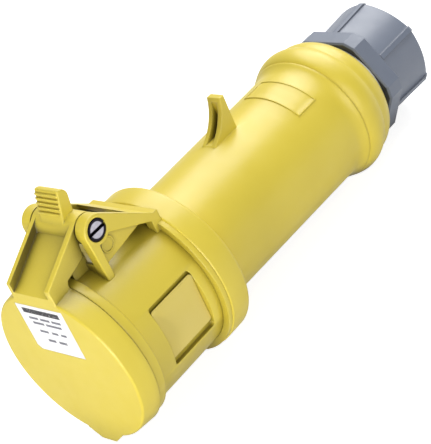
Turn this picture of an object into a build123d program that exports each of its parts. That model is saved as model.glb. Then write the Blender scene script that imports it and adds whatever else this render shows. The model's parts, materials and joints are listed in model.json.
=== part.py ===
"""Industrial cable coupler: a hand-held three-pole socket with a sprung hinged lid and a cable gland.

Millimetres. The coupler's axis is the Y axis: the lid's face is at y = 0 and looks along -Y, the cable
leaves along +Y. Z is up, with the lid's hinge, the thumb tab and the finger hook on top.
"""
import os
from math import atan2, cos, degrees, hypot, radians, sin, sqrt

from build123d import *

# Clearances shared by the pieces
face_gap = 0.3            # between faces that move past each other
running_clearance = 0.06  # radial, hinge bore on its pin
slip_clearance = 0.15     # radial, pieces pushed together by hand
seat_gap = 0.15           # left by a seal that is just touched
edge_round = 0.5          # moulded edges of the lever, the bracket and the hook

# How shapes are cut and joined
cut_margin = 1.0          # how far a cutting shape runs past what it cuts
joint_lap = 0.1           # how far two shapes of one piece run into each other
same_size = 0.01
quarter_share = 0.293     # of its radius, how far a quarter round's middle lies from the corner's two sides

# Lid
lid_depth = 8.2
lid_face_thickness = 2.6
lid_rim_round = 0.9
skirt_flare = 0.9
skirt_wall = 2.0
lip_drop = 2.7
lip_half_width = 3.6
lip_blend_half_width = 8.5
lip_thickness = 3.4
gasket_thickness = 1.5
gasket_width = 2.3
label_width = 23.4
label_height = 20.0
label_top_margin = 4.6
label_thickness = 0.25
label_gap = 0.1
label_corner = 1.6

# Hinge and lever
hinge_y = 24.0
hinge_rise = 10.6
knuckle_radius = 5.4
lever_half_width = 10.8
lever_wall = 2.1
lever_kink_rise = 3.8
lever_floor_thickness = 2.0
lever_floor_recess = 2.9
lever_rear_lead = 5.8
lever_rear_rise = 3.1
lever_foot_rise = 0.6
lobe_inset = 0.3
tab_half_width = 5.8
tab_height = 9.2
tab_lean = 3.7
tab_thickness = 4.2
tab_round = 3.2
tab_heel = 1.2
tab_root_drop = 1.1
tab_root_rise = 3.0
rib_end_margin = 0.5
rib_count = 5
rib_height = 0.55
rib_pitch = 1.55
pin_radius = 2.0
pin_head_radius = 3.7
pin_head_height = 1.5
pin_head_ring_gap = 0.4
pin_slot_width = 1.1
pin_slot_depth = 0.8
pin_tail = 1.5
clip_thickness = 0.8
clip_radius = 3.6
clip_groove_depth = 0.4
clip_mouth_half_width = 1.4
spring_wire = 1.0
spring_turns = 2.25
spring_pitch = 1.2
spring_inner_gap = 0.6
spring_outer_gap = 0.5
spring_stub = 1.4
spring_hook_lap = 0.3
spring_hook_shift = 0.2

# Socket collar
collar_bore = 25.6
collar_wall = 3.8
collar_set_in = 2.5
lip_clearance = 1.1
flange_width = 4.0
flange_set_in = 0.7
flange_round = 0.5
collar_length = 34.1
collar_floor = 3.0
bore_depth = 30.0
spigot_wall = 2.2
recess_front = 8.0
recess_length = 21.4
recess_top_z = 13.1
recess_bottom_z = -10.8
recess_groove_depth = 2.3
recess_corner = 1.2
plate_set_in = 2.0
plate_thickness = 0.8
plate_top_margin = 1.4
plate_bottom_margin = 2.8
plate_end_gap = 0.1
key_half_width = 2.5
key_depth = 1.9
ridge_half_width = 5.0
ridge_drop = 0.6
rest_half_width = 7.5

# Hinge bracket
band_width = 2.2
band_height = 2.5
bracket_half_width = 16.0
boss_thickness = 4.6
arm_thickness = 3.6
web_thickness = 1.6
web_inset = 1.6
arm_depth = 2.8
arm_rear_rise = 0.1
arm_heel = 1.7
arm_step = 0.5
arm_foot_depth = 8.0
front_arm_width = 3.2
front_arm_lean = 0.7
web_front_drop = 0.5
web_rear_gap = 4.6
roof_clearance = 1.1
roof_thickness = 1.8
roof_lap = 0.1
roof_foot = 1.0
seat_half_width = 8.0
seat_front_rise = 1.4
seat_rear_rise = 3.8
seat_leg_gap = 0.1
tie_height = 1.6
mark_ring_radius = 2.9
mark_ring_width = 0.5
mark_ring_height = 0.3
mark_ring_behind = 2.2
mark_ring_below = 7.8
band_fit = 0.05

# Handle housing
shoulder_step = 0.4
shoulder_length = 10.2
shoulder_edge = 0.4
shoulder_round = 1.9
shoulder_wall = 3.2
tube_front_radius = 24.2
tube_rear_radius = 25.0
tube_wall = 2.6
tube_length = 79.0
shoulder_blend = 3.4
flare_length = 5.6
flare_rise = 1.9
flare_middle_along = 0.6
flare_middle_rise = 0.32
bead_groove_depth = 0.5
bead_groove_width = 0.8
bead_rise = 1.7
bead_length = 9.8
bead_start_rise = 0.1
bead_crest_along = 0.48
dome_length = 9.2
dome_middle_along = 0.65
dome_middle_rise = 0.74
dome_end_radius = 20.8
neck_radius = 17.0
neck_length = 19.0
neck_bore = 13.0
neck_chamfer = 0.8
hook_setback = 33.4
hook_reach = 13.5
hook_height = 13.8
hook_half_width = 3.4
hook_top_length = 2.3
hook_slot_half_width = 1.4
hook_slot_floor = 1.6
hook_root_sink = 1.2
hook_slot_foot = 0.3
hook_slot_rear = 0.8
hook_curve_along = 0.55
hook_curve_rise = 0.42
frame_setback = 15.0
frame_length = 11.0
frame_angle_from = 46.0
frame_angle_to = 106.0
frame_line = 0.6
frame_rise = 0.25
lock_screw_radius = 1.3
lock_screw_head = 2.5
lock_screw_head_height = 1.4
lock_screw_sink = 0.6

# Contact insert
insert_radius = 21.0
insert_front = 9.5
hub_radius = 16.5
hub_length = 8.0
contact_circle = 9.0
contact_angles = {"earth": -30.0, "line": 90.0, "neutral": 210.0}
earth_bore = 3.0
line_bore = 2.5
contact_bores = {"earth": earth_bore, "line": line_bore, "neutral": line_bore}
contact_wall = 1.1
contact_setback = 3.0
contact_slot = 0.8
contact_slot_length = 13.0
contact_collar_length = 1.6
contact_tail = 11.0
contact_mouth_lap = 1.0
contact_ring_wall = 0.5
contact_ring_length = 3.0
contact_ring_offset = 2.0
ring_pocket_clearance = 0.2
bore_blind_end = 6.0
wire_bore = 1.7
wire_bore_depth = 8.0
retainer_thickness = 2.4
retainer_rim = 0.6
insert_screw_angle = 30.0
insert_screw_edge = 0.1
insert_screw_radius = 1.25
insert_screw_head = 2.3
insert_screw_head_height = 1.6
insert_screw_length = 9.0
insert_screw_spare = 0.5
retainer_screw_depth = 6.0
terminal_screw_radius = 1.5
terminal_screw_head = 2.4
terminal_screw_head_height = 1.8
terminal_screw_lift = 0.3
screw_slot = 0.7

# Seals and cable gland
collar_seal_thickness = 1.0
seal_length = 13.0
seal_lead = 1.5
cable_radius = 6.5
cage_length = 7.0
cage_wall = 2.6
cage_fingers = 8
cage_slot = 1.2
cage_taper = 1.8
cage_rim = 1.5
cage_slot_root = 2.0
cage_wall_root = 2.5
washer_thickness = 0.9
washer_radius = 21.3
washer_gap = 0.15
nut_flats = 44.0
nut_corner_flats = 48.0
nut_flange_length = 8.5
nut_edge = 0.7
nut_barrel_length = 20.5
nut_barrel_corner = 21.2
nut_barrel_middle = 20.4
nut_barrel_draft = 2.2
nut_rib_radius = 22.6
nut_rib_width = 2.2
nut_rib_front_drop = 1.0
nut_rib_root_depth = 3.0
nut_sides = 6
nut_exit_radius = 9.0
nut_exit_flare = 1.0
nut_thread_gap = 0.3

# Stations along the axis
skirt_rear_y = lid_depth
flange_front_y = skirt_rear_y + face_gap
flange_rear_y = flange_front_y + flange_width
band_front_y = flange_rear_y + collar_length
band_rear_y = band_front_y + band_width
shoulder_rear_y = band_rear_y + shoulder_length
flare_y = shoulder_rear_y + tube_length
groove_y = flare_y + flare_length
bead_rear_y = groove_y + bead_groove_width + bead_length
dome_end_y = bead_rear_y + dome_length
neck_end_y = dome_end_y + neck_length
washer_front_y = dome_end_y + washer_gap
nut_front_y = washer_front_y + washer_thickness + washer_gap
nut_barrel_y = nut_front_y + nut_flange_length
nut_rear_y = nut_barrel_y + nut_barrel_length

# Radii and places that follow from the sizes above
spigot_length = shoulder_length - shoulder_wall - collar_seal_thickness
collar_radius = collar_bore + collar_wall
skirt_radius = collar_radius + collar_set_in
skirt_bore = skirt_radius - skirt_wall
lid_radius = skirt_radius - skirt_flare
label_top_z = lid_radius - label_top_margin
hinge_z = skirt_radius + hinge_rise
lever_kink_z = lid_radius + lever_kink_rise
lever_rear_y = hinge_y - lever_rear_lead
lever_rear_z = skirt_radius + lever_rear_rise
lip_radius = skirt_bore - lip_clearance
flange_radius = skirt_radius - flange_set_in
recess_groove_radius = collar_radius - recess_groove_depth
plate_face_x = collar_radius - plate_set_in
band_radius = collar_radius + band_height
arm_rear_z = band_radius + arm_rear_rise
web_front_z = collar_radius - web_front_drop
web_rear_z = band_radius
web_rear_y = band_front_y - web_rear_gap
seat_front_y = flange_rear_y + face_gap
seat_front_z = flange_radius + seat_front_rise
seat_rear_z = flange_radius + seat_rear_rise
shoulder_radius = band_radius + shoulder_step
ridge_bottom = shoulder_radius + ridge_drop
hook_y = shoulder_rear_y + hook_setback
frame_front_y = flare_y - frame_setback
insert_screw_circle = hub_radius + insert_screw_head + insert_screw_edge
nut_half_step = 180 / nut_sides
gasket_rear_y = lid_face_thickness + gasket_thickness
lip_front_y = gasket_rear_y + seat_gap
insert_rear_y = insert_front + bore_depth
floor_rear_y = insert_rear_y + collar_floor
hub_rear_y = floor_rear_y + hub_length
bead_radius = tube_rear_radius + flare_rise + bead_rise
dome_radius = tube_rear_radius + flare_rise
cheek_inner_x = bracket_half_width - boss_thickness
pin_bore = pin_radius + running_clearance
spring_inner = pin_radius + spring_inner_gap
spring_mid = spring_inner + spring_wire / 2
spring_pocket = spring_inner + spring_wire + spring_outer_gap
spring_length = spring_turns * spring_pitch
spring_start_x = -lever_half_width + lever_wall + spring_wire
pocket_x_from = -lever_half_width + lever_wall
pocket_x_to = spring_start_x + spring_length + spring_wire
neck_passage = neck_radius + nut_thread_gap


def turned(points):
    """Solid of revolution about the coupler's axis from (radius, station) points."""
    return revolve(make_face(Polyline(*points, close=True)), Axis.Y)


def tube(outer, inner, y_from, y_to):
    return turned([(inner, y_from), (outer, y_from), (outer, y_to), (inner, y_to)])


def rod(radius, y_from, y_to, x=0.0, z=0.0):
    """Cylinder along the coupler's axis."""
    length = y_to - y_from
    place = Pos(x, (y_from + y_to) / 2, z) * Rot(90, 0, 0)
    return place * Cylinder(radius, length)


def cross_rod(radius, x_from, x_to, y, z):
    """Cylinder along X, such as a hinge boss or bore."""
    return Pos((x_from + x_to) / 2, y, z) * Rot(0, 90, 0) * Cylinder(radius, x_to - x_from)


def side_plate(points, x_from, x_to):
    """Plate with a (y, z) outline, between two planes across X."""
    face = Plane.YZ.offset(x_from) * make_face(Polyline(*points, close=True))
    return extrude(face, amount=x_to - x_from)


def softened(plate, sides=1):
    """Round the rim of the plate's face that looks along +X, or with two sides also of the one opposite."""
    rims = plate.faces().filter_by(Axis.X).sort_by(Axis.X)[-sides:]
    return fillet([edge for rim in rims for edge in rim.edges()], edge_round)


def block(x_from, x_to, y_from, y_to, z_from, z_to):
    centre = Pos((x_from + x_to) / 2, (y_from + y_to) / 2, (z_from + z_to) / 2)
    return centre * Box(x_to - x_from, y_to - y_from, z_to - z_from)


def turn(shape, angle):
    """Turn a piece about the coupler's axis, from +X towards +Z."""
    return Rot(0, -angle, 0) * shape


def on_circle(radius, angle):
    return radius * cos(radians(angle)), radius * sin(radians(angle))


def mirrored(shape):
    return shape + mirror(shape, about=Plane.YZ)


def save(shape, node):
    export_step(shape, f"parts/{node}.step")


# Lid

def tangent_point(radius, from_y, from_z, side):
    """Where a line from a point touches a circle about the hinge; side 1 is above, -1 below."""
    away_y, away_z = from_y - hinge_y, from_z - hinge_z
    distance = hypot(away_y, away_z)
    direction = atan2(away_z, away_y)
    half_angle = atan2(sqrt(distance**2 - radius**2), radius)
    angle = direction - side * half_angle
    return hinge_y + radius * cos(angle), hinge_z + radius * sin(angle)


def make_lid():
    profile = [
        (0, 0),
        (lid_radius, 0),
        (skirt_radius, skirt_rear_y),
        (skirt_bore, skirt_rear_y),
        (skirt_bore, lid_face_thickness),
        (0, lid_face_thickness),
    ]
    shell = turned(profile)
    rim = shell.edges().filter_by(GeomType.CIRCLE).sort_by(Axis.Y)[0]
    shell = fillet(rim, lid_rim_round)

    lip_z = -lid_radius - lip_drop
    blend_z = -sqrt(lid_radius**2 - lip_blend_half_width**2)
    lip_outline = Polyline(
        (-lip_blend_half_width, 0), (-lip_blend_half_width, blend_z), (-lip_half_width, lip_z),
        (lip_half_width, lip_z), (lip_blend_half_width, blend_z), (lip_blend_half_width, 0), close=True
    )
    # Plane.XZ looks along -Y, so a negative amount runs back from the lid's face
    lip = extrude(Plane.XZ * make_face(lip_outline), amount=-lip_thickness)
    lip = lip - rod(lid_radius - skirt_wall, -cut_margin, lip_thickness + cut_margin)
    lip_corners = lip.edges().filter_by(Axis.Y).sort_by(Axis.Z)[0:2]
    lip = fillet(lip_corners, lip_half_width / 2)
    shell = shell + lip - label_outline(label_gap)

    lever = make_lever()
    hollow = rod(skirt_bore, lid_face_thickness, flange_rear_y)
    return shell + (lever - hollow)


def make_lever():
    top_y, top_z = tangent_point(knuckle_radius, 0, lever_kink_z, 1)
    root_z = lid_radius - 2 * skirt_wall
    lobe_y = hinge_y - knuckle_radius + lobe_inset
    plate_outline = [
        (0, root_z), (0, lever_kink_z), (top_y, top_z), (hinge_y, hinge_z),
        (lobe_y, hinge_z - knuckle_radius / 2), (lever_rear_y, lever_rear_z),
        (skirt_rear_y + lever_foot_rise, skirt_radius + lever_foot_rise),
        (skirt_rear_y, skirt_radius - lever_foot_rise), (skirt_rear_y, root_z),
    ]
    inner_x = lever_half_width - lever_wall
    plate = softened(side_plate(plate_outline, inner_x, lever_half_width))
    lobe = cross_rod(knuckle_radius, inner_x, lever_half_width, hinge_y, hinge_z)
    sides = mirrored(plate + lobe)

    slope = (top_z - lever_kink_z) / top_y
    floor_front_z = lever_kink_z - lever_floor_recess * hypot(1, slope)
    floor_end_y = hinge_y - knuckle_radius / 2
    floor_outline = [
        (0, floor_front_z), (floor_end_y, floor_front_z + slope * floor_end_y),
        (floor_end_y, floor_front_z + slope * floor_end_y - lever_floor_thickness * hypot(1, slope)),
        (0, floor_front_z - lever_floor_thickness * hypot(1, slope)),
    ]
    floor_panel = side_plate(floor_outline, -inner_x, inner_x)
    hub = cross_rod(knuckle_radius, -inner_x, inner_x, hinge_y, hinge_z)
    body = sides + hub + floor_panel + make_tab()

    pocket = cross_rod(spring_pocket, pocket_x_from, pocket_x_to, hinge_y, hinge_z)
    window = block(pocket_x_from, pocket_x_to, hinge_y - knuckle_radius, hinge_y + knuckle_radius,
                   hinge_z - knuckle_radius - cut_margin, hinge_z - spring_wire / 2)
    pin_hole = cross_rod(pin_bore, -lever_half_width - cut_margin, lever_half_width + cut_margin,
                         hinge_y, hinge_z)
    stub_hole = cross_rod(spring_wire / 2 + slip_clearance, -lever_half_width - cut_margin,
                          pocket_x_from + cut_margin,
                          hinge_y - spring_hook_shift, hinge_z + spring_mid)
    return body - pocket - window - pin_hole - stub_hole


def make_tab():
    """Thumb tab on the hub: a leaning blade, rounded at the back of its tip, with ribs across its front."""
    base_y = hinge_y - knuckle_radius + tab_root_drop
    base_z = hinge_z + tab_root_rise
    tip_y = base_y + tab_lean
    tip_z = hinge_z + knuckle_radius + tab_height
    back_y = tip_y + tab_thickness
    blade = side_plate(
        [(base_y, base_z), (tip_y, tip_z), (back_y, tip_z), (base_y + tab_thickness + tab_heel, hinge_z)],
        -tab_half_width, tab_half_width,
    )
    blade = fillet(blade.edges().filter_by(Axis.X).sort_by(Axis.Y)[-1:], tab_round)
    blade = softened(blade, 2)
    lean = degrees(atan2(tip_y - base_y, tip_z - base_z))
    rib_width = 2 * (tab_half_width - rib_end_margin)
    for step in range(rib_count):
        along = tip_z - rib_pitch * (step + 1)
        share = (along - base_z) / (tip_z - base_z)
        centre_y = base_y + share * (tip_y - base_y)
        rib = Pos(0, centre_y, along) * Rot(-lean, 0, 0) * Box(rib_width, 2 * rib_height, rib_pitch / 2)
        blade = blade + rib
    return blade


def make_lid_gasket():
    return tube(lip_radius - seat_gap, lip_radius - gasket_width, lid_face_thickness, gasket_rear_y)


def label_outline(gap):
    """The label's shape with one corner cut, let into the lid's face and grown by a gap all round."""
    half_width = label_width / 2 + gap
    bottom_z = label_top_z - label_height
    label = block(-half_width, half_width, 0, label_thickness, bottom_z - gap, label_top_z + gap)
    lower_left = label.edges().filter_by(Axis.Y).sort_by(Axis.Z)[0:2].sort_by(Axis.X)[0]
    return chamfer(lower_left, label_corner)


def make_lid_label():
    return label_outline(0)


def make_hinge_pin():
    head_x = bracket_half_width - pin_head_height
    tail_x = -bracket_half_width - pin_tail
    shaft = cross_rod(pin_radius, tail_x, head_x + joint_lap, hinge_y, hinge_z)
    head = cross_rod(pin_head_radius, head_x, bracket_half_width, hinge_y, hinge_z)
    slot = block(bracket_half_width - pin_slot_depth, bracket_half_width + cut_margin,
                 hinge_y - 2 * pin_head_radius, hinge_y + 2 * pin_head_radius,
                 hinge_z - pin_slot_width / 2, hinge_z + pin_slot_width / 2)
    groove_x = -bracket_half_width
    groove = cross_rod(pin_radius + cut_margin, groove_x - clip_thickness, groove_x, hinge_y, hinge_z)
    groove = groove - clip_bore(groove_x)
    return shaft + head - slot - groove


def clip_bore(groove_x):
    """Cylinder of the groove's radius, through the clip."""
    return cross_rod(pin_radius - clip_groove_depth, groove_x - clip_thickness - cut_margin,
                     groove_x + cut_margin, hinge_y, hinge_z)


def make_pin_clip():
    groove_x = -bracket_half_width
    ring = cross_rod(clip_radius, groove_x - clip_thickness, groove_x, hinge_y, hinge_z)
    ring = ring - clip_bore(groove_x)
    mouth = block(groove_x - clip_thickness - cut_margin, groove_x + cut_margin,
                  hinge_y - clip_mouth_half_width, hinge_y + clip_mouth_half_width,
                  hinge_z - 2 * clip_radius, hinge_z)
    return ring - mouth


def make_lid_spring():
    """Torsion coil round the pin: one end hooks into the lid, the other leans on the bracket's seat."""
    helix = Helix(pitch=spring_pitch, height=spring_length, radius=spring_mid)
    start = helix.position_at(0)
    section = Plane(origin=start, z_dir=helix.tangent_at(0)) * Circle(spring_wire / 2)
    # The coil is wound along +Z from +X; turned along +X it starts above the pin
    coil = Rot(0, 90, 0) * Rot(0, 0, 180) * sweep(section, path=helix, is_frenet=True)
    leg_top = spring_wire / 2
    leg_foot = seat_front_z - hinge_z
    leg = Cylinder(spring_wire / 2, leg_top - leg_foot)
    leg = Pos(spring_length, -spring_mid, (leg_top + leg_foot) / 2) * leg
    hook_from = -spring_wire - spring_stub
    hook = cross_rod(spring_wire / 2, hook_from, spring_hook_lap, -spring_hook_shift, spring_mid)
    return Pos(spring_start_x, hinge_y, hinge_z) * (coil + leg + hook)


# Socket collar

def bottom_ridge(half_width, y_from, y_to, inner):
    """Flat-bottomed ridge under the coupler that marks the place of the key."""
    ridge = block(-half_width, half_width, y_from, y_to, -ridge_bottom, 0)
    return ridge - rod(inner, y_from - cut_margin, y_to + cut_margin)


def recess_cut():
    """Side recess: a flat seat for the marking plate between two deeper grooves."""
    front, rear = flange_rear_y + recess_front, flange_rear_y + recess_front + recess_length
    outline = block(collar_bore, collar_radius + cut_margin, front, rear, recess_bottom_z, recess_top_z)
    ends = outline.edges().filter_by(Axis.X)
    outline = fillet(ends, recess_corner)
    grooves = outline - rod(recess_groove_radius, front - cut_margin, rear + cut_margin)
    seat_x = plate_face_x - plate_thickness
    seat = block(seat_x, collar_radius + cut_margin, front, rear, recess_bottom_z + plate_bottom_margin,
                 recess_top_z - plate_top_margin)
    return grooves + (outline & seat)


def make_plate():
    front = flange_rear_y + recess_front + plate_end_gap
    rear = flange_rear_y + recess_front + recess_length - plate_end_gap
    plate = block(plate_face_x - plate_thickness, plate_face_x, front, rear,
                  recess_bottom_z + plate_bottom_margin, recess_top_z - plate_top_margin)
    return fillet(plate.edges().filter_by(Axis.X), recess_corner - plate_end_gap)


def make_collar():
    profile = [
        (collar_bore, lip_front_y), (lip_radius, lip_front_y), (lip_radius, flange_front_y),
        (flange_radius, flange_front_y), (flange_radius, flange_rear_y), (collar_radius, flange_rear_y),
        (collar_radius, band_rear_y), (collar_radius - spigot_wall / 2, band_rear_y),
        (collar_radius - spigot_wall / 2, band_rear_y + spigot_length),
        (collar_radius - spigot_wall * 1.5, band_rear_y + spigot_length),
        (collar_radius - spigot_wall * 1.5, floor_rear_y), (hub_radius + slip_clearance, floor_rear_y),
        (hub_radius + slip_clearance, insert_rear_y), (collar_bore, insert_rear_y),
    ]
    collar = turned(profile)
    flange_edges = [
        edge for edge in collar.edges().filter_by(GeomType.CIRCLE)
        if abs(edge.radius - flange_radius) < same_size
    ]
    collar = fillet(flange_edges, flange_round)
    ridge_root = (collar_bore + collar_radius) / 2
    collar = collar + bottom_ridge(ridge_half_width, flange_rear_y, band_front_y, ridge_root)
    keyway = block(-key_half_width, key_half_width, lip_front_y - cut_margin, insert_rear_y,
                   -collar_bore - key_depth, -collar_bore + key_depth)
    collar = collar - keyway
    recess = recess_cut()
    collar = collar - recess - mirror(recess, about=Plane.YZ)
    for angle in (insert_screw_angle, insert_screw_angle + 180):
        x, z = on_circle(insert_screw_circle, angle)
        collar = collar - rod(insert_screw_radius + slip_clearance, insert_rear_y - cut_margin,
                              floor_rear_y + cut_margin, x, z)
    hole_radius = lock_screw_radius + slip_clearance
    return collar - make_lock_rod(hole_radius, collar_radius - 2 * spigot_wall, shoulder_radius)


def make_lock_rod(radius, r_from, r_to):
    y = band_rear_y + spigot_length / 2
    return Pos(0, y, -(r_from + r_to) / 2) * Cylinder(radius, r_to - r_from)


def make_lock_screw():
    """Screw under the shoulder that locks the collar's spigot in the handle."""
    head_r = ridge_bottom - lock_screw_sink
    seat_r = head_r - lock_screw_head_height
    screw = make_lock_rod(lock_screw_radius, collar_radius - 1.5 * spigot_wall, seat_r + joint_lap)
    screw = screw + make_lock_rod(lock_screw_head, seat_r, head_r)
    y = band_rear_y + spigot_length / 2
    return screw - Pos(0, y, -head_r) * Box(3 * lock_screw_head, screw_slot, 2 * screw_slot)


# Hinge bracket

def make_bracket():
    inner = collar_radius + band_fit
    band = tube(band_radius, inner, band_front_y, band_rear_y)
    band = band + bottom_ridge(ridge_half_width, band_front_y, band_rear_y, inner)

    outer_x = bracket_half_width
    arm_x = outer_x - arm_thickness
    web_x = outer_x - web_inset
    boss = softened(cross_rod(knuckle_radius, cheek_inner_x, outer_x, hinge_y, hinge_z))
    top_y, top_z = tangent_point(knuckle_radius, band_front_y, arm_rear_z, -1)
    slope = (arm_rear_z - top_z) / (band_front_y - top_y)
    drop = arm_depth * hypot(1, slope)
    heel_y = band_front_y - arm_heel
    neck_y = heel_y - arm_step
    foot_z = collar_radius - arm_foot_depth
    upper_arm = side_plate(
        [
            (hinge_y, hinge_z), (top_y, top_z), (band_front_y, arm_rear_z), (band_rear_y, band_radius),
            (band_rear_y, foot_z), (heel_y, foot_z), (heel_y, neck_z(neck_y, slope) - drop - arm_step),
            (neck_y, neck_z(neck_y, slope) - drop), (hinge_y, hinge_z - knuckle_radius / 3),
        ],
        arm_x, outer_x,
    )
    foot_y = hinge_y - knuckle_radius + front_arm_lean
    front_arm = softened(side_plate(
        [
            (hinge_y - knuckle_radius, hinge_z), (hinge_y, hinge_z),
            (foot_y + front_arm_width, hinge_z - knuckle_radius), (foot_y + front_arm_width, foot_z),
            (foot_y, foot_z),
        ],
        arm_x, outer_x,
    ))
    web = side_plate(
        [
            (foot_y + front_arm_width / 2, hinge_z - knuckle_radius / 2),
            (foot_y + front_arm_width / 2, web_front_z), (web_rear_y, web_rear_z),
            (web_rear_y, neck_z(web_rear_y, slope) - drop / 2), (hinge_y + knuckle_radius / 2, hinge_z),
        ],
        web_x - web_thickness, web_x,
    )
    ring_y, ring_z = hinge_y + mark_ring_behind, hinge_z - mark_ring_below
    ring = cross_rod(mark_ring_radius, web_x - web_thickness, web_x + mark_ring_height, ring_y, ring_z)
    ring = ring - cross_rod(mark_ring_radius - mark_ring_width, web_x - web_thickness - cut_margin,
                            web_x + cut_margin, ring_y, ring_z)
    cheeks = mirrored(boss + upper_arm + front_arm + web + ring)

    roof_front_y = hinge_y + tab_reach() + roof_clearance
    roof_front_z = neck_z(roof_front_y, slope)
    roof_foot_y = band_front_y - roof_foot
    root_z = collar_radius - roof_thickness
    roof = side_plate(
        [
            (roof_front_y, roof_front_z), (band_front_y, arm_rear_z), (band_rear_y, band_radius),
            (band_rear_y, root_z), (roof_foot_y, root_z),
            (roof_foot_y, neck_z(roof_foot_y, slope) - roof_thickness),
            (roof_front_y, roof_front_z - roof_thickness),
        ],
        -arm_x - roof_lap, arm_x + roof_lap,
    )
    seat_rear_y = hinge_y - spring_mid - spring_wire / 2 - seat_leg_gap
    seat_foot_z = sqrt(inner**2 - arm_x**2) - cut_margin
    seat = side_plate(
        [
            (seat_front_y, seat_foot_z), (seat_front_y, seat_front_z), (seat_rear_y, seat_rear_z),
            (seat_rear_y, seat_foot_z),
        ],
        -seat_half_width, seat_half_width,
    )
    tie = block(-arm_x - roof_lap, arm_x + roof_lap, foot_y, seat_rear_y,
                seat_foot_z, collar_radius + tie_height)
    bracket = band + cheeks + roof + seat + tie
    bracket = bracket - rod(inner, seat_front_y - cut_margin, band_rear_y + cut_margin)

    bore = cross_rod(pin_radius, -outer_x - cut_margin, outer_x + cut_margin, hinge_y, hinge_z)
    counterbore = cross_rod(pin_head_radius + pin_head_ring_gap, outer_x - pin_head_height,
                            outer_x + cut_margin, hinge_y, hinge_z)
    return bracket - bore - counterbore


def neck_z(y, slope):
    """Height of the arm's top line at a station."""
    return arm_rear_z - slope * (band_front_y - y)


def tab_reach():
    """Largest distance of the thumb tab from the hinge."""
    tip_y = -knuckle_radius + tab_root_drop + tab_lean
    return hypot(tip_y, knuckle_radius + tab_height)


# Handle housing

def make_handle():
    inner_spigot = collar_radius - spigot_wall / 2 + slip_clearance
    cavity_front_y = band_rear_y + spigot_length + collar_seal_thickness
    rim_radius = shoulder_radius - shoulder_edge
    round_y = shoulder_rear_y - shoulder_round
    blend_radius = tube_front_radius + shoulder_blend
    blend_end_y = shoulder_rear_y + shoulder_blend
    bead_front_y = groove_y + bead_groove_width
    dome_drop = dome_radius - dome_end_radius
    round_sink = shoulder_round * quarter_share
    blend_sink = shoulder_blend * quarter_share
    outside = (
        Polyline((inner_spigot, band_rear_y), (rim_radius, band_rear_y),
                 (shoulder_radius, band_rear_y + shoulder_edge), (shoulder_radius, round_y))
        + ThreePointArc((shoulder_radius, round_y),
                        (shoulder_radius - round_sink, shoulder_rear_y - round_sink),
                        (shoulder_radius - shoulder_round, shoulder_rear_y))
        + Line((shoulder_radius - shoulder_round, shoulder_rear_y), (blend_radius, shoulder_rear_y))
        + ThreePointArc((blend_radius, shoulder_rear_y),
                        (tube_front_radius + blend_sink, shoulder_rear_y + blend_sink),
                        (tube_front_radius, blend_end_y))
        + Line((tube_front_radius, blend_end_y), (tube_rear_radius, flare_y))
        + ThreePointArc(
            (tube_rear_radius, flare_y),
            (tube_rear_radius + flare_rise * flare_middle_rise, flare_y + flare_length * flare_middle_along),
            (dome_radius, groove_y),
        )
        + Polyline((dome_radius, groove_y),
                   (dome_radius - bead_groove_depth, groove_y + bead_groove_width / 2),
                   (dome_radius + bead_start_rise, bead_front_y))
        + ThreePointArc((dome_radius + bead_start_rise, bead_front_y),
                        (bead_radius, bead_front_y + bead_length * bead_crest_along),
                        (dome_radius, bead_rear_y))
        + ThreePointArc((dome_radius, bead_rear_y),
                        (dome_end_radius + dome_middle_rise * dome_drop,
                         bead_rear_y + dome_length * dome_middle_along),
                        (dome_end_radius, dome_end_y))
        + Polyline((dome_end_radius, dome_end_y), (neck_radius, dome_end_y),
                   (neck_radius, neck_end_y - neck_chamfer), (neck_radius - neck_chamfer, neck_end_y),
                   (neck_bore, neck_end_y))
    )
    inside = Polyline(
        (neck_bore, neck_end_y), (neck_bore, bead_rear_y + dome_length / 2),
        (tube_rear_radius - tube_wall, bead_rear_y - bead_length / 2),
        (tube_front_radius - tube_wall, cavity_front_y), (inner_spigot, cavity_front_y),
        (inner_spigot, band_rear_y),
    )
    shell = revolve(make_face(outside + inside), Axis.Y)
    ridge = bottom_ridge(rest_half_width, band_rear_y, shoulder_rear_y - shoulder_round, inner_spigot)
    shell = shell + ridge + make_hook() + make_frame()
    head_seat_r = ridge_bottom - lock_screw_sink - lock_screw_head_height
    counterbore = make_lock_rod(lock_screw_head + slip_clearance, head_seat_r, ridge_bottom + cut_margin)
    lock_hole = make_lock_rod(lock_screw_radius + slip_clearance, collar_radius - spigot_wall,
                              ridge_bottom + cut_margin)
    return shell - counterbore - lock_hole


def tube_radius_at(y):
    start = shoulder_rear_y + shoulder_blend
    return tube_front_radius + (tube_rear_radius - tube_front_radius) * (y - start) / (flare_y - start)


def make_hook():
    """Finger hook on the handle: a curved, slotted fin whose hollow front catches the finger."""
    base_z = tube_radius_at(hook_y) - hook_root_sink
    surface_z = tube_radius_at(hook_y)
    rear_y = hook_y + hook_reach
    top_z = surface_z + hook_height
    outline = (
        Line((rear_y, base_z), (rear_y, top_z))
        + Line((rear_y, top_z), (rear_y - hook_top_length, top_z))
        + ThreePointArc((rear_y - hook_top_length, top_z),
                        (hook_y + hook_reach * hook_curve_along, surface_z + hook_height * hook_curve_rise),
                        (hook_y, surface_z))
        + Polyline((hook_y, surface_z), (hook_y, base_z), (rear_y, base_z))
    )
    fin = extrude(Plane.YZ.offset(-hook_half_width) * make_face(outline), amount=2 * hook_half_width)
    fin = softened(fin, 2)
    slot = block(-hook_slot_half_width, hook_slot_half_width,
                 hook_y - cut_margin, rear_y - hook_slot_floor - hook_slot_rear,
                 surface_z + hook_slot_foot, top_z - hook_slot_floor)
    return fin - slot


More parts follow.
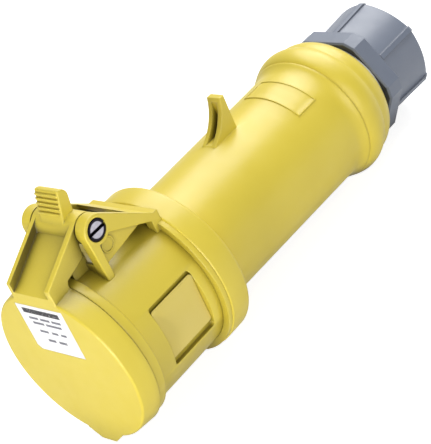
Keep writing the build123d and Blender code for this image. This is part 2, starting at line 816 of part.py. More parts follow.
def make_frame():
    """Plain raised frame line on the tube, near the bead."""
    rear_y = frame_front_y + frame_length
    radius = tube_radius_at(rear_y)
    outer = tube(radius + frame_rise, radius - cut_margin, frame_front_y, rear_y)
    inner = tube(radius + 2 * cut_margin, radius - 2 * cut_margin,
                 frame_front_y + frame_line, rear_y - frame_line)
    line_angle = degrees(frame_line / radius)
    outer = outer & sector(frame_angle_from, frame_angle_to)
    inner = inner & sector(frame_angle_from + line_angle, frame_angle_to - line_angle)
    return outer - inner


def sector(angle_from, angle_to):
    """Wedge about the axis from one angle to the other, wide enough for the housing."""
    reach = 2 * shoulder_radius
    middle = (angle_from + angle_to) / 2
    corners = [(0, 0)] + [on_circle(reach, angle) for angle in (angle_from, middle, angle_to)]
    wedge = Plane.XZ * make_face(Polyline(*corners, close=True))
    return extrude(wedge, amount=-nut_rear_y)


# Contact insert

def contact_outer(name):
    return contact_bores[name] + contact_wall


def contact_place(name):
    return on_circle(contact_circle, contact_angles[name])


def passage_radius(name):
    """Passage in the insert that holds a contact with its spring ring."""
    return contact_outer(name) + contact_ring_wall + ring_pocket_clearance


contact_front_y = insert_front + contact_setback
passage_front_y = contact_front_y + contact_mouth_lap
contact_collar_y = hub_rear_y - contact_collar_length
contact_rear_y = hub_rear_y + contact_tail


def make_insert():
    """Insulating insert: each contact's mouth is centred in the front wall, with a wider passage behind."""
    insert = rod(insert_radius, insert_front, insert_rear_y)
    insert = insert + rod(hub_radius, insert_rear_y - joint_lap, hub_rear_y)
    for name in contact_angles:
        x, z = contact_place(name)
        entry = rod(contact_outer(name) + slip_clearance, insert_front - cut_margin,
                    passage_front_y + cut_margin, x, z)
        passage = rod(passage_radius(name), passage_front_y, hub_rear_y + cut_margin, x, z)
        insert = insert - entry - passage
    for angle in (insert_screw_angle, insert_screw_angle + 180):
        x, z = on_circle(insert_screw_circle, angle)
        depth = insert_screw_length - collar_floor + insert_screw_spare
        insert = insert - rod(insert_screw_radius, insert_rear_y - depth, insert_rear_y + cut_margin, x, z)
    return insert - rod(insert_screw_radius, hub_rear_y - retainer_screw_depth - insert_screw_spare,
                        hub_rear_y + cut_margin)


def make_contact(name):
    x, z = contact_place(name)
    bore, outer = contact_bores[name], contact_outer(name)
    sleeve = rod(outer, contact_front_y, contact_rear_y, x, z)
    sleeve = sleeve + rod(passage_radius(name) - slip_clearance, contact_collar_y, hub_rear_y, x, z)
    sleeve = sleeve - rod(bore, contact_front_y - cut_margin, hub_rear_y - bore_blind_end, x, z)
    reach = outer + cut_margin
    slot = block(-reach, reach, contact_front_y - cut_margin, contact_front_y + contact_slot_length,
                 -contact_slot / 2, contact_slot / 2)
    for slot_angle in (0, 90):
        sleeve = sleeve - Pos(x, 0, z) * turn(slot, slot_angle)
    sleeve = sleeve - rod(wire_bore, contact_rear_y - wire_bore_depth, contact_rear_y + cut_margin, x, z)
    hole = terminal_rod(name, terminal_screw_radius, 0, reach)
    return sleeve - hole


def terminal_rod(name, radius, r_from, r_to):
    """Cylinder that points out from a contact's tail, away from the coupler's axis."""
    x, z = contact_place(name)
    y = contact_rear_y - wire_bore_depth / 2
    rod_along_x = Rot(0, 90, 0) * Cylinder(radius, r_to - r_from)
    placed = Pos((r_from + r_to) / 2, 0, 0) * rod_along_x
    return Pos(x, y, z) * turn(placed, contact_angles[name])


def make_contact_ring(name):
    x, z = contact_place(name)
    outer = contact_outer(name)
    y_from = contact_front_y + contact_ring_offset
    y_to = y_from + contact_ring_length
    ring = rod(outer + contact_ring_wall, y_from, y_to, x, z)
    return ring - rod(outer, y_from - cut_margin, y_to + cut_margin, x, z)


def make_terminal_screw(name):
    outer = contact_outer(name)
    head_from = outer + terminal_screw_lift
    head_to = head_from + terminal_screw_head_height
    screw = terminal_rod(name, terminal_screw_radius, wire_bore / 2, head_from + joint_lap)
    screw = screw + terminal_rod(name, terminal_screw_head, head_from, head_to)
    x, z = contact_place(name)
    y = contact_rear_y - wire_bore_depth / 2
    slot = Pos(head_to, 0, 0) * Box(2 * screw_slot, 3 * terminal_screw_head, screw_slot)
    return screw - Pos(x, y, z) * turn(slot, contact_angles[name])


def make_retainer():
    """Plate behind the insert's hub that keeps the contacts' collars in their seats."""
    plate = rod(hub_radius - retainer_rim, hub_rear_y, hub_rear_y + retainer_thickness)
    for name in contact_angles:
        x, z = contact_place(name)
        hole_radius = contact_outer(name) + slip_clearance
        plate = plate - rod(hole_radius, hub_rear_y - cut_margin, contact_rear_y, x, z)
    return plate - rod(insert_screw_radius + slip_clearance, hub_rear_y - cut_margin, contact_rear_y)


def make_insert_screw(angle):
    x, z = on_circle(insert_screw_circle, angle)
    head_y = floor_rear_y + insert_screw_head_height
    screw = rod(insert_screw_radius, floor_rear_y - insert_screw_length, floor_rear_y + joint_lap, x, z)
    screw = screw + rod(insert_screw_head, floor_rear_y, head_y, x, z)
    slot = Pos(x, head_y, z) * Box(3 * insert_screw_head, screw_slot * 2, screw_slot)
    return screw - slot


def make_retainer_screw():
    head_y = hub_rear_y + retainer_thickness
    screw = rod(insert_screw_radius, hub_rear_y - retainer_screw_depth, head_y + joint_lap)
    screw = screw + rod(insert_screw_head, head_y, head_y + insert_screw_head_height)
    slot = Box(3 * insert_screw_head, screw_slot * 2, screw_slot)
    return screw - Pos(0, head_y + insert_screw_head_height, 0) * slot


def make_collar_seal():
    y_from = band_rear_y + spigot_length
    outer = collar_radius - spigot_wall / 2
    return tube(outer, collar_radius - spigot_wall * 1.5, y_from, y_from + collar_seal_thickness)


# Cable gland

def make_gland_seal():
    rear_y = neck_end_y
    front_y = rear_y - seal_length
    return turned([
        (cable_radius, front_y), (neck_bore - seal_lead, front_y),
        (neck_bore - slip_clearance, front_y + seal_lead),
        (neck_bore - slip_clearance, rear_y), (cable_radius, rear_y),
    ])


def make_gland_cage():
    """Ring of clamping fingers that the nut's cone closes on the cable."""
    front_y = neck_end_y
    rear_y = front_y + cage_length
    outer = neck_radius - neck_chamfer
    ring = turned([
        (cable_radius + face_gap, front_y), (outer, front_y), (outer, front_y + cage_rim),
        (outer - cage_taper, rear_y), (outer - cage_taper - cage_wall, rear_y),
        (cable_radius + face_gap, front_y + cage_wall_root),
    ])
    slot_from = front_y + cage_slot_root
    for step in range(cage_fingers):
        slot = block(cable_radius, neck_radius + cut_margin, slot_from, rear_y + cut_margin,
                     -cage_slot / 2, cage_slot / 2)
        ring = ring - turn(slot, 360 / cage_fingers * step)
    return ring


def make_thrust_washer():
    return tube(washer_radius, neck_passage, washer_front_y, washer_front_y + washer_thickness)


def regular_prism(flats, y_from, y_to, corner_at):
    """Prism with the nut's number of sides; corner_at is the angle of one corner."""
    corner_radius = flats / 2 / cos(radians(nut_half_step))
    corners = [on_circle(corner_radius, corner_at + 2 * nut_half_step * step) for step in range(nut_sides)]
    return extrude(Plane.XZ.offset(-y_from) * make_face(Polyline(*corners, close=True)), amount=y_from - y_to)


def make_gland_nut():
    flange = regular_prism(nut_flats, nut_front_y, nut_barrel_y, 0)
    flange = flange & regular_prism(nut_corner_flats, nut_front_y, nut_barrel_y, nut_half_step)
    front_and_rear = flange.faces().sort_by(Axis.Y)
    flange = chamfer(front_and_rear[-1].edges() + front_and_rear[0].edges(), nut_edge)

    barrel = make_barrel()
    cone_radius = neck_radius - neck_chamfer + face_gap
    floor_y = neck_end_y + cage_length + face_gap
    mouth_radius = nut_exit_radius + nut_exit_flare
    hollow = turned([
        (0, nut_front_y - cut_margin), (neck_passage, nut_front_y - cut_margin),
        (neck_passage, neck_end_y + face_gap), (cone_radius, neck_end_y + 2 * face_gap),
        (cone_radius, neck_end_y + cage_rim), (cone_radius - cage_taper, neck_end_y + cage_length),
        (cone_radius - cage_taper, floor_y), (nut_exit_radius, floor_y),
        (nut_exit_radius, nut_rear_y - nut_exit_flare), (mouth_radius, nut_rear_y),
        (mouth_radius, nut_rear_y + cut_margin), (0, nut_rear_y + cut_margin),
    ])
    return flange + barrel - hollow


def make_barrel():
    """Grip of the nut: bowed sides that taper to the rear, with a rib along each corner."""
    outline = Curve()
    for step in range(nut_sides):
        angles = [nut_half_step * (2 * step + side) for side in (1, 2, 3)]
        first, last = [on_circle(nut_barrel_corner, angle) for angle in (angles[0], angles[2])]
        outline += ThreePointArc(first, on_circle(nut_barrel_middle, angles[1]), last)
    section = Plane.XZ.offset(joint_lap - nut_barrel_y) * make_face(outline)
    barrel = extrude(section, amount=-(nut_barrel_length + joint_lap), taper=-nut_barrel_draft)
    rear_face = barrel.faces().sort_by(Axis.Y)[-1]
    barrel = chamfer(rear_face.edges(), nut_edge)
    front_y = nut_barrel_y - joint_lap
    front_r = nut_rib_radius - nut_rib_front_drop
    root_r = nut_barrel_middle - nut_rib_root_depth
    half = nut_rib_width / 2
    rib_outline = Polyline(
        (root_r, front_y), (front_r, front_y), (nut_rib_radius, nut_rear_y - 2 * nut_edge),
        (nut_rib_radius - nut_edge, nut_rear_y), (root_r, nut_rear_y), close=True
    )
    rib = extrude(Plane.XY.offset(-half) * make_face(rib_outline), amount=2 * half)
    for step in range(nut_sides):
        barrel = barrel + turn(rib, nut_half_step * (2 * step + 1))
    return barrel


def main():
    os.makedirs("parts", exist_ok=True)
    save(make_lid(), "lid")
    save(make_lid_gasket(), "lid_gasket")
    save(make_lid_label(), "lid_label")
    save(make_hinge_pin(), "hinge_pin")
    save(make_pin_clip(), "hinge_pin_clip")
    save(make_lid_spring(), "lid_spring")
    save(make_collar(), "socket_collar")
    plate = make_plate()
    save(plate, "marking_plate_right")
    save(mirror(plate, about=Plane.YZ), "marking_plate_left")
    save(make_lock_screw(), "lock_screw")
    save(make_bracket(), "hinge_bracket")
    save(make_handle(), "handle_housing")
    save(make_insert(), "contact_insert")
    save(make_retainer(), "contact_retainer")
    save(make_retainer_screw(), "retainer_screw")
    save(make_collar_seal(), "collar_seal")
    for name in contact_angles:
        save(make_contact(name), f"{name}_contact")
        save(make_contact_ring(name), f"{name}_contact_ring")
        save(make_terminal_screw(name), f"{name}_terminal_screw")
    save(make_insert_screw(insert_screw_angle), "insert_screw_right")
    save(make_insert_screw(insert_screw_angle + 180), "insert_screw_left")
    save(make_gland_seal(), "gland_seal")
    save(make_gland_cage(), "gland_cage")
    save(make_thrust_washer(), "thrust_washer")
    save(make_gland_nut(), "gland_nut")


main()
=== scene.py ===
"""Looks of the industrial cable coupler: materials, edges, label print, studio and camera.

Metres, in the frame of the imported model: the lid's face is at y = 0, the cable leaves along +Y, Z is up.
"""
import json
import math

import bpy
from mathutils import Matrix, Vector


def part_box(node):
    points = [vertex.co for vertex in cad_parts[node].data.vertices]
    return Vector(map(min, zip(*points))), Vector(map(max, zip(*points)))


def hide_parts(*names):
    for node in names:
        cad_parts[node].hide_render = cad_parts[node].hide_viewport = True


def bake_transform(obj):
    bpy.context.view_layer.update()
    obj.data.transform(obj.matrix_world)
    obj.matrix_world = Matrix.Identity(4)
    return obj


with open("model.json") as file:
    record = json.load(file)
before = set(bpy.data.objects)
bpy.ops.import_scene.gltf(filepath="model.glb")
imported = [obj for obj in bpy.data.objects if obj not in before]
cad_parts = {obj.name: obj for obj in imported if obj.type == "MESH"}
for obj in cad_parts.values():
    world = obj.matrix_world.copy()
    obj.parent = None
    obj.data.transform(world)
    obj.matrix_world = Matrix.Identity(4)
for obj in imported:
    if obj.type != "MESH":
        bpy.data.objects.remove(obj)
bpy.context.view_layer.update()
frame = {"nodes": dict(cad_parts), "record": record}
nodes = frame["nodes"]

MM = 0.001

# Camera of the photograph
CAMERA_AIM = Vector((0.0, 81.4, -1.0)) * MM
CAMERA_AZIMUTH = math.radians(52.46)
CAMERA_ELEVATION = math.radians(30.27)
CAMERA_ROLL = math.radians(-24.57)
CAMERA_DISTANCE = 556 * MM
CAMERA_LENS = 124.1
SENSOR_WIDTH = 36.0

# Lamps: the place, the point that the lamp is aimed at, its width and height, and its power
LAMPS = {
    "key": ((-0.2, 0.72, 1.0), (0.0, 0.08, 0.0), (1.05, 1.9), 20.0),
    "side": ((1.0, -0.4, 0.35), (0.0, 0.08, 0.0), (0.9, 0.9), 5.2),
    "low_front": ((0.12, -0.36, -0.03), (0.0, 0.0, 0.0), (0.1, 0.1), 1.2),
}

# World and floor: the world lights the object faintly, the camera sees white, and reflections a share of it
WORLD_LIGHT = 0.28
WORLD_WHITE = (1.0, 1.0, 1.0, 1.0)
REFLECTED_SHARE = 0.35
FLOOR_GREY = (0.6, 0.6, 0.6, 1.0)
FLOOR_GLOW = 0.82
FLOOR_SIZE = 8.0
FLOOR_GAP = 0.4 * MM
REST_RIDGE_Y = 57.0 * MM

# Colours as they look on a screen, 0 to 1
YELLOW = (0.85, 0.77, 0.25)
YELLOW_DEEP = (0.81, 0.72, 0.19)
# Painted shade colours of the yellow plastic, for crevices, corners and recesses
YELLOW_SHADE = (0.33, 0.29, 0.08)
YELLOW_RECESS_SHADE = (0.50, 0.44, 0.12)
PLATE_YELLOW = (0.85, 0.77, 0.40)
GREY = (0.44, 0.47, 0.53)
GREY_DEEP = (0.40, 0.43, 0.49)
# Painted shade colour of the grey gland and the white cage in their crevices
GREY_SHADE = (0.10, 0.10, 0.11)
INSERT_GREY = (0.24, 0.25, 0.27)
INSERT_DEEP = (0.19, 0.20, 0.22)
CAGE_WHITE = (0.80, 0.80, 0.78)
CAGE_DEEP = (0.72, 0.72, 0.70)
# The seal rubber's own colour, also the insert's painted shade colour in its crevices
RUBBER_BLACK = (0.07, 0.07, 0.075)
LABEL_WHITE = (0.96, 0.955, 0.955)
LABEL_SHADE = (0.93, 0.925, 0.925)
PRINT_GREY = (0.42, 0.42, 0.46)
PRINT_BLACK = (0.15, 0.14, 0.16)
BRASS = (0.80, 0.64, 0.33)
PIN_STEEL = (0.82, 0.81, 0.86)
# Painted shade colour of metal, in crevices and on the pin head's rim and slot
METAL_SHADE = (0.16, 0.15, 0.18)
SCREW_STEEL = (0.62, 0.62, 0.62)

# How much darker the streaks in a metal are, and how much lighter the lumps in the rubber
STREAK_SHADE = 0.82
RUBBER_LUMP_SHADE = 1.5

# Noises: their scale for places in metres, and their detail
CLOUDS = (38.0, 3.0)
UNEVEN_GLOSS = (160.0, 2.0)
ERODED_GRAIN = (2600.0, 2.0)
BRUSHING = (900.0, 3.0)
RUBBER_LUMPS = (300.0, 3.0)
RUBBER_GRAIN = (3000.0, 2.0)
FILM_SHADES = (90.0, 3.0)
FILM_GRAIN = (1200.0, 2.0)
PRINT_WEAR = (1500.0, 3.0)

# What becomes of a noise: the two values that it is spread between, and what they turn into
CLOUD_SPREAD = (0.35, 0.75, 0.0, 0.45)
WEAR_SPREAD = (0.30, 0.44, 0.55, 1.0)

# Roughness wavers with a noise: the values that most of the noise lies between, and how far the roughness
# goes below and above its mean
MOST_NOISE = (0.3, 0.7)
PLASTIC_WAVER = (-0.04, 0.05)
METAL_WAVER = (-0.05, 0.08)

# Mean roughness, and the strength of the plastic's reflections
SHELL_ROUGHNESS = 0.38
PLATE_ROUGHNESS = 0.55
INSERT_ROUGHNESS = 0.5
CAGE_ROUGHNESS = 0.45
FILM_ROUGHNESS = 0.5
RUBBER_ROUGHNESS = 0.72
BRASS_ROUGHNESS = 0.28
PIN_ROUGHNESS = 0.34
SCREW_ROUGHNESS = 0.32
PLASTIC_IOR = 1.5
PLASTIC_SPECULAR = 0.7

# Relief of a grain: its strength and its depth
PLASTIC_RELIEF = (0.12, 0.05 * MM)
METAL_RELIEF = (0.1, 0.02 * MM)
RUBBER_RELIEF = (0.2, 0.05 * MM)
FILM_RELIEF = (0.06, 0.03 * MM)

# Where a material gets painted shade, from its ambient occlusion: how far around it looks, the open share
# where that shade starts and where it is full
GAPS_ONLY = (16 * MM, 0.5, 0.1)
CORNERS_TOO = (16 * MM, 0.85, 0.15)
HOLLOWS_TOO = (18 * MM, 1.0, 0.52)
OCCLUSION_SAMPLES = 8

# The lid's painted shade is full between these heights, about its lever, and in part below and above them
LEVER_Z = (26 * MM, 47 * MM)
BELOW_BAND = 0.4
ABOVE_BAND = 0.1
BAND_BLEND = 1 * MM

# Rounding of the moulded edges: in the shading of every plastic, and in mm in the shape of these pieces
EDGE_SOFTNESS = 0.5 * MM
EDGE_SAMPLES = 6
EDGE_RADIUS = {
    "lid": 0.35,
    "hinge_bracket": 0.4,
    "socket_collar": 0.25,
    "handle_housing": 0.35,
    "gland_nut": 0.3,
}
EDGE_SEGMENTS = 2
EDGE_ANGLE = math.radians(40)
WELD_DISTANCE = 0.001 * MM

# Bars printed on the label: x from, x to, middle z and height in mm
PRINTED_HEADER = ((-9.2, 9.2, 24.0, 2.1),)
PRINTED_LINES = (
    (-7.8, -3.2, 20.9, 1.0), (-2.2, 2.6, 20.9, 1.0), (3.6, 8.2, 20.9, 1.0),
    (-7.0, -1.4, 18.8, 1.0), (-0.4, 7.4, 18.8, 1.0),
    (-5.6, -1.2, 15.4, 1.0), (0.4, 3.6, 15.4, 1.0), (5.0, 7.8, 15.4, 1.0),
    (-3.6, 0.2, 11.6, 1.1), (1.8, 5.8, 11.6, 1.1),
)

# The hinge pin's middle line in y and z, where the painted shade on its head's rim starts, and the width of
# the painted shade in its slot
PIN_HEAD = (24.0 * MM, 42.5 * MM, 2.85 * MM, 1.3 * MM)
RIM_BLEND = 0.1 * MM

# The Mix node names its sockets alike for numbers and colours, so those for colours go by their number
MIX_FIRST, MIX_SECOND, MIX_RESULT = 6, 7, 2


def linear(colour):
    """Screen colour to the linear values that Blender's sockets hold, with full alpha."""
    values = [c / 12.92 if c <= 0.04045 else ((c + 0.055) / 1.055) ** 2.4 for c in colour]
    return (*values, 1.0)


def shaded(colour, share):
    return tuple(share * c for c in colour)


class Nodes:
    """Small helper that adds and joins the nodes of one material."""

    def __init__(self, name):
        self.material = bpy.data.materials.new(name)
        self.material.use_nodes = True
        self.tree = self.material.node_tree
        self.shader = self.tree.nodes["Principled BSDF"]
        self.output = self.tree.nodes["Material Output"]

    def add(self, kind, **settings):
        node = self.tree.nodes.new(kind)
        for key, value in settings.items():
            setattr(node, key, value)
        return node

    def join(self, source, target):
        self.tree.links.new(source, target)

    def place(self):
        """Position on the piece, which stays with it when it moves."""
        return self.add("ShaderNodeTexCoord").outputs["Object"]

    def axes(self):
        """The same position as X, Y and Z."""
        split = self.add("ShaderNodeSeparateXYZ")
        self.join(self.place(), split.inputs["Vector"])
        return split.outputs

    def noise(self, scale, detail):
        noise = self.add("ShaderNodeTexNoise")
        noise.inputs["Scale"].default_value = scale
        noise.inputs["Detail"].default_value = detail
        self.join(self.place(), noise.inputs["Vector"])
        return noise.outputs["Fac"]

    def mix(self, factor, first, second):
        mix = self.add("ShaderNodeMix", data_type="RGBA")
        self.join(factor, mix.inputs["Factor"])
        for socket, value in ((mix.inputs[MIX_FIRST], first), (mix.inputs[MIX_SECOND], second)):
            if isinstance(value, tuple):
                socket.default_value = value
            else:
                self.join(value, socket)
        return mix.outputs[MIX_RESULT]

    def remap(self, value, from_low, from_high, to_low, to_high):
        remap = self.add("ShaderNodeMapRange")
        self.join(value, remap.inputs["Value"])
        remap.inputs["From Min"].default_value = from_low
        remap.inputs["From Max"].default_value = from_high
        remap.inputs["To Min"].default_value = to_low
        remap.inputs["To Max"].default_value = to_high
        return remap.outputs["Result"]

    def step_up(self, value, middle, blend, to_low, to_high):
        """Change over from one number to another, a blend's length either side of the middle."""
        return self.remap(value, middle - blend, middle + blend, to_low, to_high)

    def occlusion_shade(self, reach, open_share, closed_share):
        """Mask of painted shade: zero on open faces, rising to one in gaps and corners no wider than the
        reach.
        """
        shade = self.add("ShaderNodeAmbientOcclusion", samples=OCCLUSION_SAMPLES)
        shade.inputs["Distance"].default_value = reach
        return self.remap(shade.outputs["AO"], open_share, closed_share, 0.0, 1.0)

    def math(self, operation, *values):
        node = self.add("ShaderNodeMath", operation=operation)
        for socket, value in zip(node.inputs, values):
            if isinstance(value, float):
                socket.default_value = value
            else:
                self.join(value, socket)
        return node.outputs["Value"]

    def bars(self, axes, bars):
        """One inside any of the upright (x from, x to, middle z, height) bars, zero elsewhere."""
        total = None
        for x_from, x_to, z, height in bars:
            middle, half_width = (x_from + x_to) / 2, (x_to - x_from) / 2
            across = self.math("COMPARE", axes["X"], middle * MM, half_width * MM)
            upright = self.math("COMPARE", axes["Z"], z * MM, height / 2 * MM)
            bar = self.math("MULTIPLY", across, upright)
            total = bar if total is None else self.math("MAXIMUM", total, bar)
        return total

    def colour(self, colour):
        self.join(colour, self.shader.inputs["Base Color"])

    def roughness(self, noise, mean, waver):
        """Roughness that wavers about its mean with a noise."""
        low, high = waver
        self.join(self.remap(noise, *MOST_NOISE, mean + low, mean + high), self.shader.inputs["Roughness"])

    def bump(self, height, strength, distance, edge=None):
        bump = self.add("ShaderNodeBump")
        if edge:
            rounded = self.add("ShaderNodeBevel", samples=EDGE_SAMPLES)
            rounded.inputs["Radius"].default_value = edge
            self.join(rounded.outputs["Normal"], bump.inputs["Normal"])
        bump.inputs["Strength"].default_value = strength
        bump.inputs["Distance"].default_value = distance
        self.join(height, bump.inputs["Height"])
        self.join(bump.outputs["Normal"], self.shader.inputs["Normal"])


def moulded_plastic(name, colour, deep_colour, shade_colour, roughness, shares=GAPS_ONLY, band=None):
    """Moulded plastic: faint clouds of colour, painted shade in crevices, uneven gloss and a fine
    spark-eroded grain.

    The shares say where the painted shade falls, and a band keeps most of that between two heights.
    """
    m = Nodes(name)
    clouds = m.remap(m.noise(*CLOUDS), *CLOUD_SPREAD)
    unshaded = m.mix(clouds, linear(colour), linear(deep_colour))
    # painted shade: the colour darkens in gaps, corners and hollows, where shade falls
    painted_shade = m.occlusion_shade(*shares)
    # the painted shade is kept mostly to the band about the lid's lever
    if band:
        z = m.axes()["Z"]
        low_end = m.step_up(z, band[0], BAND_BLEND, BELOW_BAND, 1.0)
        high_end = m.step_up(z, band[1], BAND_BLEND, 1.0, ABOVE_BAND)
        painted_shade = m.math("MULTIPLY", painted_shade, m.math("MULTIPLY", low_end, high_end))
    m.colour(m.mix(painted_shade, unshaded, linear(shade_colour)))
    m.roughness(m.noise(*UNEVEN_GLOSS), roughness, PLASTIC_WAVER)
    m.shader.inputs["IOR"].default_value = PLASTIC_IOR
    m.shader.inputs["Specular IOR Level"].default_value = PLASTIC_SPECULAR
    m.bump(m.noise(*ERODED_GRAIN), *PLASTIC_RELIEF, EDGE_SOFTNESS)
    return m.material


def metal(name, colour, roughness, head=None):
    """Plated or turned metal with fine brushing and painted shade in crevices; a head on the +X side gets
    painted shade on its rim and in its slot.
    """
    m = Nodes(name)
    m.shader.inputs["Metallic"].default_value = 1.0
    streaks = m.noise(*BRUSHING)
    bright = m.mix(streaks, linear(colour), linear(shaded(colour, STREAK_SHADE)))
    if head:
        head_y, head_z, rim_radius, slot_width = head
        axes = m.axes()
        across = m.math("SUBTRACT", axes["Y"], head_y)
        upright = m.math("SUBTRACT", axes["Z"], head_z)
        squares = m.math("ADD", m.math("MULTIPLY", across, across), m.math("MULTIPLY", upright, upright))
        # painted shade on the head's rim and in its slot
        rim = m.step_up(m.math("SQRT", squares), rim_radius, RIM_BLEND, 0.0, 1.0)
        slot = m.math("COMPARE", upright, 0.0, slot_width / 2)
        on_head = m.math("GREATER_THAN", axes["X"], 0.0)
        head_shade = m.math("MULTIPLY", m.math("MAXIMUM", rim, slot), on_head)
        bright = m.mix(head_shade, bright, linear(METAL_SHADE))
    # painted shade in the metal's crevices
    m.colour(m.mix(m.occlusion_shade(*GAPS_ONLY), bright, linear(METAL_SHADE)))
    m.roughness(streaks, roughness, METAL_WAVER)
    m.bump(streaks, *METAL_RELIEF)
    return m.material


def rubber(name, colour):
    m = Nodes(name)
    m.colour(m.mix(m.noise(*RUBBER_LUMPS), linear(colour), linear(shaded(colour, RUBBER_LUMP_SHADE))))
    m.shader.inputs["Roughness"].default_value = RUBBER_ROUGHNESS
    m.bump(m.noise(*RUBBER_GRAIN), *RUBBER_RELIEF)
    return m.material


def label_film():
    """White film label with plain ruled bars in a slightly worn print."""
    m = Nodes("label_film")
    film = m.mix(m.noise(*FILM_SHADES), linear(LABEL_WHITE), linear(LABEL_SHADE))
    axes = m.axes()
    wear = m.remap(m.noise(*PRINT_WEAR), *WEAR_SPREAD)
    header = m.math("MULTIPLY", m.bars(axes, PRINTED_HEADER), wear)
    lines = m.math("MULTIPLY", m.bars(axes, PRINTED_LINES), wear)
    printed = m.mix(lines, film, linear(PRINT_GREY))
    m.colour(m.mix(header, printed, linear(PRINT_BLACK)))
    m.shader.inputs["Roughness"].default_value = FILM_ROUGHNESS
    m.bump(m.noise(*FILM_GRAIN), *FILM_RELIEF)
    return m.material


def yellow_plastic(name, shade_colour, shares=GAPS_ONLY, band=None):
    return moulded_plastic(name, YELLOW, YELLOW_DEEP, shade_colour, SHELL_ROUGHNESS, shares, band)


SLOT_MATERIALS = {
    "yellow_shell": yellow_plastic("yellow_shell", YELLOW_SHADE),
    "marking_plate": moulded_plastic("marking_plate", PLATE_YELLOW, YELLOW, YELLOW_RECESS_SHADE, PLATE_ROUGHNESS),
    "grey_gland": moulded_plastic("grey_gland", GREY, GREY_DEEP, GREY_SHADE, SHELL_ROUGHNESS, CORNERS_TOO),
    # RUBBER_BLACK is here the painted shade colour of the insert's crevices
    "insert_plastic": moulded_plastic("insert_plastic", INSERT_GREY, INSERT_DEEP, RUBBER_BLACK,
                                      INSERT_ROUGHNESS),
    "cage_plastic": moulded_plastic("cage_plastic", CAGE_WHITE, CAGE_DEEP, GREY_SHADE, CAGE_ROUGHNESS),
    "label_film": label_film(),
    "seal_rubber": rubber("seal_rubber", RUBBER_BLACK),
    "contact_brass": metal("contact_brass", BRASS, BRASS_ROUGHNESS),
    "pin_steel": metal("pin_steel", PIN_STEEL, PIN_ROUGHNESS, PIN_HEAD),
    "screw_steel": metal("screw_steel", SCREW_STEEL, SCREW_ROUGHNESS),
}

# The yellow plastic of the pieces whose painted shade falls in corners and hollows too
NODE_MATERIALS = {
    "lid": yellow_plastic("yellow_lid", YELLOW_SHADE, HOLLOWS_TOO, LEVER_Z),
    "hinge_bracket": yellow_plastic("yellow_bracket", YELLOW_SHADE, CORNERS_TOO),
    "socket_collar": yellow_plastic("yellow_collar", YELLOW_RECESS_SHADE, CORNERS_TOO),
}


def dress_nodes():
    """Give each CAD node its own or its slot's material."""
    slots = {part["node"]: part["material_slot"] for part in frame["record"]["subparts"]}
    for name, node in nodes.items():
        node.data.materials.clear()
        node.data.materials.append(NODE_MATERIALS.get(name, SLOT_MATERIALS[slots[name]]))


def soften_edges():
    """Round the moulded pieces' sharp edges a little, as a mould leaves them."""
    for name, radius in EDGE_RADIUS.items():
        weld = nodes[name].modifiers.new("weld", "WELD")
        weld.merge_threshold = WELD_DISTANCE
        bevel = nodes[name].modifiers.new("edge", "BEVEL")
        bevel.width = radius * MM
        bevel.segments = EDGE_SEGMENTS
        bevel.limit_method = "ANGLE"
        bevel.angle_limit = EDGE_ANGLE


def add_object(name, data):
    item = bpy.data.objects.new(name, data)
    bpy.context.scene.collection.objects.link(item)
    return item


def add_closing_spring():
    """The lid's spring as a fixed copy of its CAD piece, which is hidden.

    On the real part the spring winds up as the lid opens; the copy keeps one shape.
    """
    node = nodes["lid_spring"]
    spring = node.copy()
    spring.data = node.data.copy()
    spring.name = "closing_spring"
    spring.parent = None
    spring.matrix_world = node.matrix_world
    bpy.context.scene.collection.objects.link(spring)
    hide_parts("lid_spring")
    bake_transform(spring)


def share_seen(tree):
    """One for the camera, a part for reflections, and zero for the rays that light the object."""
    light_path = tree.nodes.new("ShaderNodeLightPath")
    seen = tree.nodes.new("ShaderNodeMath")
    seen.operation = "MULTIPLY_ADD"
    seen.use_clamp = True
    tree.links.new(light_path.outputs["Is Glossy Ray"], seen.inputs[0])
    seen.inputs[1].default_value = REFLECTED_SHARE
    tree.links.new(light_path.outputs["Is Camera Ray"], seen.inputs[2])
    return seen.outputs[0]


def floor_material():
    """White floor: it keeps the object's soft shadow and shows white to the camera and in reflections."""
    m = Nodes("floor")
    m.shader.inputs["Base Color"].default_value = FLOOR_GREY
    m.shader.inputs["Roughness"].default_value = 1.0
    m.shader.inputs["Specular IOR Level"].default_value = 0.0
    glow = m.add("ShaderNodeEmission")
    glow.inputs["Strength"].default_value = FLOOR_GLOW
    nothing = m.add("ShaderNodeEmission")
    nothing.inputs["Strength"].default_value = 0.0
    glow_or_none = m.add("ShaderNodeMixShader")
    m.join(share_seen(m.tree), glow_or_none.inputs["Fac"])
    m.join(nothing.outputs[0], glow_or_none.inputs[1])
    m.join(glow.outputs[0], glow_or_none.inputs[2])
    both = m.add("ShaderNodeAddShader")
    m.join(m.shader.outputs[0], both.inputs[0])
    m.join(glow_or_none.outputs[0], both.inputs[1])
    m.join(both.outputs[0], m.output.inputs["Surface"])
    return m.material


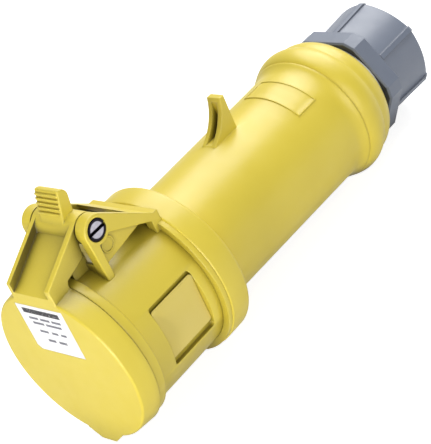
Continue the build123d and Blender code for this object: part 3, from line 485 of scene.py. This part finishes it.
def add_floor():
    """Floor under the part as it rests, on the shoulder's ridge and the nut's lowest rib."""
    ridge_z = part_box("handle_housing")[0].z
    nut_low, nut_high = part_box("gland_nut")
    tilt = math.atan2(nut_low.z - ridge_z, nut_high.y - REST_RIDGE_Y)
    half = FLOOR_SIZE / 2
    corners = [(-half, -half, 0), (half, -half, 0), (half, half, 0), (-half, half, 0)]
    mesh = bpy.data.meshes.new("floor")
    mesh.from_pydata(corners, [], [(0, 1, 2, 3)])
    mesh.materials.append(floor_material())
    floor = add_object("floor", mesh)
    below_ridge = Matrix.Translation((0, REST_RIDGE_Y, ridge_z - FLOOR_GAP))
    floor.matrix_world = below_ridge @ Matrix.Rotation(tilt, 4, "X")


def add_lamps():
    for name, (place, aim, size, power) in LAMPS.items():
        data = bpy.data.lights.new(name, "AREA")
        data.shape = "ELLIPSE"
        data.size, data.size_y = size
        data.energy = power
        lamp = add_object(name, data)
        lamp.location = place
        lamp.rotation_euler = (Vector(aim) - Vector(place)).to_track_quat("-Z", "Y").to_euler()
        lamp.visible_camera = False


def add_world():
    world = bpy.data.worlds.new("studio")
    world.use_nodes = True
    tree = world.node_tree
    background = tree.nodes["Background"]
    background.inputs["Color"].default_value = WORLD_WHITE
    strength = tree.nodes.new("ShaderNodeMapRange")
    strength.inputs["To Min"].default_value = WORLD_LIGHT
    tree.links.new(share_seen(tree), strength.inputs["Value"])
    tree.links.new(strength.outputs["Result"], background.inputs["Strength"])
    bpy.context.scene.world = world


def add_camera():
    towards = Vector((
        math.sin(CAMERA_AZIMUTH) * math.cos(CAMERA_ELEVATION),
        -math.cos(CAMERA_AZIMUTH) * math.cos(CAMERA_ELEVATION),
        math.sin(CAMERA_ELEVATION),
    ))
    level = Vector((math.cos(CAMERA_AZIMUTH), math.sin(CAMERA_AZIMUTH), 0.0))
    up = towards.cross(level)
    right = math.cos(CAMERA_ROLL) * level + math.sin(CAMERA_ROLL) * up
    top = towards.cross(right)
    data = bpy.data.cameras.new("camera")
    data.sensor_width = SENSOR_WIDTH
    data.lens = CAMERA_LENS
    camera = add_object("camera", data)
    turned = Matrix((right, top, towards)).transposed().to_4x4()
    camera.matrix_world = Matrix.Translation(CAMERA_AIM + CAMERA_DISTANCE * towards) @ turned
    bpy.context.scene.camera = camera


dress_nodes()
soften_edges()
add_closing_spring()
add_floor()
add_lamps()
add_world()
add_camera()
bpy.context.scene.view_settings.view_transform = "Standard"
